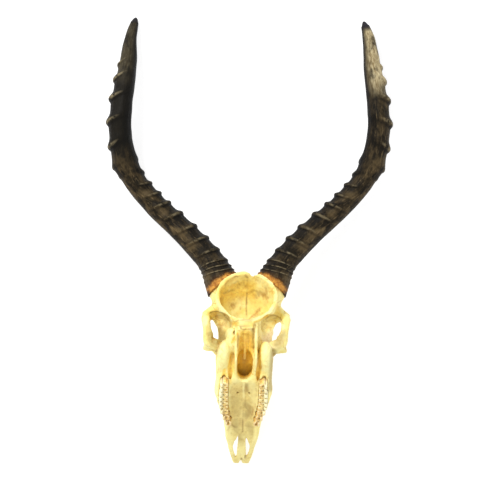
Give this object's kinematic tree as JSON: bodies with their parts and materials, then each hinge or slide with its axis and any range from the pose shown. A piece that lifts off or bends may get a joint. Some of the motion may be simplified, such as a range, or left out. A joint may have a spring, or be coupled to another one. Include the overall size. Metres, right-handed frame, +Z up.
{
  "type": "impala skull with horns",
  "caption": "Impala skull without its lower jaw, braincase sawn open at the back, with ridged lyre-shaped horns; it lies face down on its snout tip and horn tips.",
  "frame": {"origin": "centre of the underside of the bounding box, on the ground that the skull lies on", "axes": "+X to the animal's right, +Y from the snout tip towards the horn tips, +Z up, on the side of the palate and the sawn vault"},
  "size_m": [0.3616, 0.5784, 0.1252],
  "materials": {
    "bone": "dry pale bone, satin, golden inside the vault",
    "horn": "blackish brown keratin, low sheen, worn lighter ring crests",
    "tooth": "cream enamel with brown stained hollows"
  },
  "bodies": {
    "root": {"cranium": "bone", "horn_sheath_left": "horn", "horn_sheath_right": "horn", "tooth_left_p2": "tooth", "tooth_left_p3": "tooth", "tooth_left_p4": "tooth", "tooth_left_m1": "tooth", "tooth_left_m2": "tooth", "tooth_left_m3": "tooth", "tooth_right_p2": "tooth", "tooth_right_p3": "tooth", "tooth_right_p4": "tooth", "tooth_right_m1": "tooth", "tooth_right_m2": "tooth", "tooth_right_m3": "tooth"}
  },
  "joints": []
}
